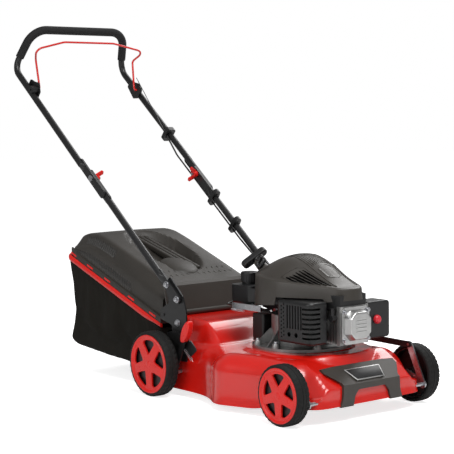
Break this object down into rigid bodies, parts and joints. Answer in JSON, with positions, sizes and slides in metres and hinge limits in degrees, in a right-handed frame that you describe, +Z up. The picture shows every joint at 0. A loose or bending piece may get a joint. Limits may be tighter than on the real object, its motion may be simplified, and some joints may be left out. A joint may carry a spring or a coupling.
{
  "type": "push lawn mower",
  "caption": "Petrol rotary push mower with a pressed steel deck, height-adjustable wheels, folding tube handle with brake bail, and a lift-off grass box with a fabric bag.",
  "frame": {"origin": "on the ground, under the middle of the mower's overall length and width", "axes": "+X towards the front of the mower, +Y towards the operator's left, +Z up"},
  "size_m": [1.3132, 0.492, 1.0185],
  "materials": {
    "red_paint": "glossy stove enamel",
    "red_plastic": "glossy moulded plastic",
    "black_paint": "satin black enamel",
    "shroud_plastic": "fine-textured moulding",
    "lid_plastic": "textured moulding",
    "dark_plastic": "plain moulding",
    "tyre": "moulded tread",
    "zinc": "zinc plated",
    "cast": "die cast, as cast",
    "silver_paint": "sand-cast silver",
    "foam": "closed-cell foam",
    "cloth": "woven polyester",
    "primer": "soft translucent bulb",
    "cable": "extruded jacket",
    "blade_steel": "ground spring steel",
    "iron": "as cast"
  },
  "bodies": {
    "deck": {"deck_shell": "red_paint", "front_bumper": "shroud_plastic", "handle_brackets": "black_paint", "lower_handle_left": "black_paint", "lower_handle_right": "black_paint", "handle_bolts": "zinc", "height_quadrant": "black_paint", "flap_rod": "black_paint", "flap_springs": "zinc", "crankcase": "cast", "cylinder": "cast", "valve_cover": "silver_paint", "engine_bolts": "zinc", "muffler": "iron", "muffler_guard": "black_paint", "carburettor": "cast", "air_filter_box": "dark_plastic", "fuel_tank": "dark_plastic", "oil_filler_tube": "dark_plastic", "engine_shroud": "shroud_plastic", "control_bracket": "zinc", "brake_housing": "dark_plastic", "spark_plug_cap": "dark_plastic", "brake_cable_lower": "cable", "cable_clips": "dark_plastic"},
    "rear_axle": {"rear_axle": "zinc", "height_lever": "black_paint", "lever_grip": "red_plastic"},
    "front_axle": {"front_axle": "zinc"},
    "link_bar": {"link_bar": "black_paint"},
    "front_left_wheel": {"wheel_front_left": "red_plastic", "tyre_front_left": "tyre"},
    "front_right_wheel": {"wheel_front_right": "red_plastic", "tyre_front_right": "tyre"},
    "rear_left_wheel": {"wheel_rear_left": "red_plastic", "tyre_rear_left": "tyre"},
    "rear_right_wheel": {"wheel_rear_right": "red_plastic", "tyre_rear_right": "tyre"},
    "upper_handle": {"upper_handle": "black_paint", "foam_grip": "foam", "mid_bolts": "zinc", "handle_clamps": "dark_plastic", "brake_cable_upper": "cable"},
    "wing_nut_left": {"wing_nut_left": "red_plastic"},
    "wing_nut_right": {"wing_nut_right": "red_plastic"},
    "bail": {"bail": "red_paint"},
    "brake_lever": {"brake_lever": "zinc"},
    "rear_flap": {"rear_flap": "shroud_plastic"},
    "grass_box": {"bag_lid": "lid_plastic", "bag_trim": "red_plastic", "bag_fabric": "cloth"},
    "fuel_cap": {"fuel_cap": "dark_plastic"},
    "dipstick": {"dipstick": "dark_plastic"},
    "primer_bulb": {"primer_bulb": "primer"},
    "starter_grip": {"starter_grip": "dark_plastic"},
    "rotor": {"crankshaft": "iron", "flywheel": "iron", "blade_adapter": "iron", "blade": "blade_steel", "blade_bolt": "zinc"}
  },
  "joints": [
    {"name": "rear_axle_crank", "type": "hinge", "parent": "deck", "child": "rear_axle", "pos_m": [0.119, 0, 0.067], "axis": [0, -1, 0], "range_deg": [0, 40]},
    {"name": "front_axle_crank", "type": "hinge", "parent": "deck", "child": "front_axle", "pos_m": [0.635, 0, 0.055], "axis": [0, -1, 0], "range_deg": [0, 40]},
    {"name": "link_pivot", "type": "hinge", "parent": "rear_axle", "child": "link_bar", "pos_m": [0.074, 0.1946, 0.164], "axis": [0, -1, 0], "range_deg": [-40, 0]},
    {"name": "front_left_wheel_spin", "type": "hinge", "parent": "front_axle", "child": "front_left_wheel", "pos_m": [0.58, 0.226, 0.075], "axis": [0, 1, 0], "continuous": true},
    {"name": "front_right_wheel_spin", "type": "hinge", "parent": "front_axle", "child": "front_right_wheel", "pos_m": [0.58, -0.226, 0.075], "axis": [0, 1, 0], "continuous": true},
    {"name": "rear_left_wheel_spin", "type": "hinge", "parent": "rear_axle", "child": "rear_left_wheel", "pos_m": [0.064, 0.226, 0.087], "axis": [0, 1, 0], "continuous": true},
    {"name": "rear_right_wheel_spin", "type": "hinge", "parent": "rear_axle", "child": "rear_right_wheel", "pos_m": [0.064, -0.226, 0.087], "axis": [0, 1, 0], "continuous": true},
    {"name": "handle_fold", "type": "hinge", "parent": "deck", "child": "upper_handle", "pos_m": [-0.262, 0, 0.56967], "axis": [0, 1, 0], "range_deg": [0, 135]},
    {"name": "wing_nut_left_turn", "type": "hinge", "parent": "upper_handle", "child": "wing_nut_left", "pos_m": [-0.262, 0.176, 0.56967], "axis": [0, 1, 0], "continuous": true},
    {"name": "wing_nut_right_turn", "type": "hinge", "parent": "upper_handle", "child": "wing_nut_right", "pos_m": [-0.262, -0.176, 0.56967], "axis": [0, 1, 0], "continuous": true},
    {"name": "bail_pull", "type": "hinge", "parent": "upper_handle", "child": "bail", "pos_m": [-0.556, 0, 0.826], "axis": [0, -1, 0], "range_deg": [0, 24], "stiffness_Nm_per_rad": 1.5, "springref_deg": -17.19},
    {"name": "brake_lever_turn", "type": "hinge", "parent": "deck", "child": "brake_lever", "pos_m": [0.258, -0.074, 0.24], "axis": [0, 0, 1], "range_deg": [-24, 0]},
    {"name": "rear_flap_lift", "type": "hinge", "parent": "deck", "child": "rear_flap", "pos_m": [0.052, 0, 0.212], "axis": [0, 1, 0], "range_deg": [0, 50], "stiffness_Nm_per_rad": 0.15, "springref_deg": -17.19},
    {"name": "grass_box_lift", "type": "slide", "parent": "deck", "child": "grass_box", "axis": [-0.9061, 0, 0.423], "range_m": [0, 0.25]},
    {"name": "fuel_cap_turn", "type": "hinge", "parent": "deck", "child": "fuel_cap", "pos_m": [0.216, -0.018, 0.315], "axis": [0, 0, 1], "continuous": true},
    {"name": "dipstick_turn", "type": "hinge", "parent": "deck", "child": "dipstick", "pos_m": [0.37, 0.1, 0.23], "axis": [0, 0, 1], "continuous": true},
    {"name": "primer_press", "type": "slide", "parent": "deck", "child": "primer_bulb", "axis": [-1, 0, 0], "range_m": [0, 0.005], "stiffness_N_per_m": 400, "springref_m": -0.002},
    {"name": "starter_pull", "type": "slide", "parent": "deck", "child": "starter_grip", "axis": [-0.8351, 0, 0.5501], "range_m": [0, 0.6], "stiffness_N_per_m": 30, "springref_m": -0.3},
    {"name": "crankshaft_spin", "type": "hinge", "parent": "deck", "child": "rotor", "pos_m": [0.4, 0, 0.2], "axis": [0, 0, 1], "continuous": true}
  ],
  "couplings": [
    {"joint": "front_axle_crank", "follows": "rear_axle_crank", "ratio": 1},
    {"joint": "link_pivot", "follows": "rear_axle_crank", "ratio": -1},
    {"joint": "brake_lever_turn", "follows": "bail_pull", "ratio": -1}
  ]
}
